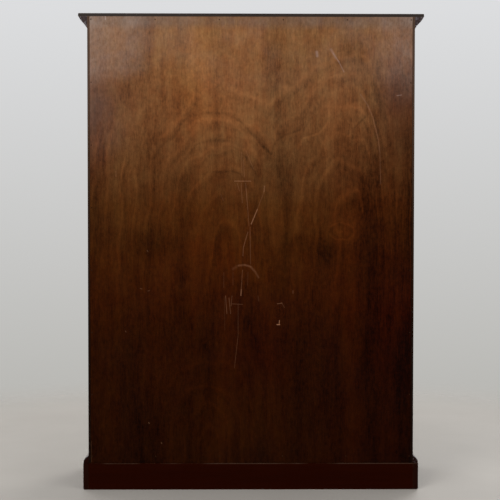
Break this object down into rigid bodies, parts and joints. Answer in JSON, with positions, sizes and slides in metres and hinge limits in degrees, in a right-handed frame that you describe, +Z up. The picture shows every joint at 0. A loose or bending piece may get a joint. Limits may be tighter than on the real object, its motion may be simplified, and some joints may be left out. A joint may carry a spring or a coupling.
{
  "type": "glazed display cabinet",
  "caption": "Tall hardwood display cabinet with moulded cornice and plinth, plain veneered back, shelves, and a pair of hinged doors glazed between geometric astragal bars.",
  "frame": {"origin": "bottom centre of the whole cabinet, on the floor", "axes": "+Z up, +Y out of the back, so the glazed front faces -Y; +X is to the right when facing the front"},
  "size_m": [1.07, 0.362, 1.48],
  "materials": {
    "polished_wood": "dark French polish",
    "back_veneer": "satin varnish",
    "inner_wood": "thin satin varnish",
    "brass": "aged, lightly tarnished",
    "steel": "dull",
    "glass": "clear"
  },
  "bodies": {
    "carcass": {"side_left": "polished_wood", "side_right": "polished_wood", "top_board": "inner_wood", "bottom_board": "inner_wood", "cap_board": "polished_wood", "front_stile_left": "polished_wood", "front_stile_right": "polished_wood", "frieze_rail": "polished_wood", "front_bottom_rail": "polished_wood", "cornice_front": "polished_wood", "cornice_left": "polished_wood", "cornice_right": "polished_wood", "plinth_front": "polished_wood", "plinth_left": "polished_wood", "plinth_right": "polished_wood", "plinth_rear_rail": "polished_wood", "plinth_moulding_front": "polished_wood", "plinth_moulding_left": "polished_wood", "plinth_moulding_right": "polished_wood", "glue_blocks": "inner_wood", "back_panel": "back_veneer", "back_panel_brads": "steel", "stop_strip_top": "inner_wood", "stop_strip_bottom": "inner_wood", "upper_keeper": "brass", "lower_keeper": "brass", "shelf_lower": "inner_wood", "shelf_middle": "inner_wood", "shelf_upper": "inner_wood", "shelf_bearers": "inner_wood", "left_frame_leaves": "brass", "right_frame_leaves": "brass", "left_hinge_pins": "brass", "right_hinge_pins": "brass"},
    "left_door": {"left_hinge_stile": "polished_wood", "left_meeting_stile": "polished_wood", "left_top_rail": "polished_wood", "left_bottom_rail": "polished_wood", "left_glazing_bars": "polished_wood", "left_panes": "glass", "left_glazing_beads": "polished_wood", "left_door_leaves": "brass", "upper_bolt_plate": "brass", "lower_bolt_plate": "brass"},
    "right_door": {"right_hinge_stile": "polished_wood", "right_meeting_stile": "polished_wood", "right_top_rail": "polished_wood", "right_bottom_rail": "polished_wood", "right_glazing_bars": "polished_wood", "right_panes": "glass", "right_glazing_beads": "polished_wood", "right_door_leaves": "brass", "lock_case": "brass", "escutcheon": "brass"},
    "upper_bolt": {"upper_bolt": "brass"},
    "lower_bolt": {"lower_bolt": "brass"},
    "lock_bolt": {"lock_bolt": "steel"},
    "key": {"key": "steel"}
  },
  "joints": [
    {"name": "left_door_swing", "type": "hinge", "parent": "carcass", "child": "left_door", "pos_m": [-0.466, -0.1565, 0.759], "axis": [0, 0, -1], "range_deg": [0, 170]},
    {"name": "right_door_swing", "type": "hinge", "parent": "carcass", "child": "right_door", "pos_m": [0.466, -0.1565, 0.759], "axis": [0, 0, 1], "range_deg": [0, 170]},
    {"name": "upper_bolt_slide", "type": "slide", "parent": "left_door", "child": "upper_bolt", "axis": [0, 0, 1], "range_m": [0, 0.012]},
    {"name": "lower_bolt_slide", "type": "slide", "parent": "left_door", "child": "lower_bolt", "axis": [0, 0, -1], "range_m": [0, 0.012]},
    {"name": "key_turn", "type": "hinge", "parent": "right_door", "child": "key", "pos_m": [0.015, -0.153, 0.749], "axis": [0, -1, 0], "range_deg": [0, 360]},
    {"name": "lock_bolt_slide", "type": "slide", "parent": "right_door", "child": "lock_bolt", "axis": [-1, 0, 0], "range_m": [0, 0.007]}
  ],
  "couplings": [
    {"joint": "lock_bolt_slide", "follows": "key_turn", "m_per_rad": 0.0011139}
  ]
}
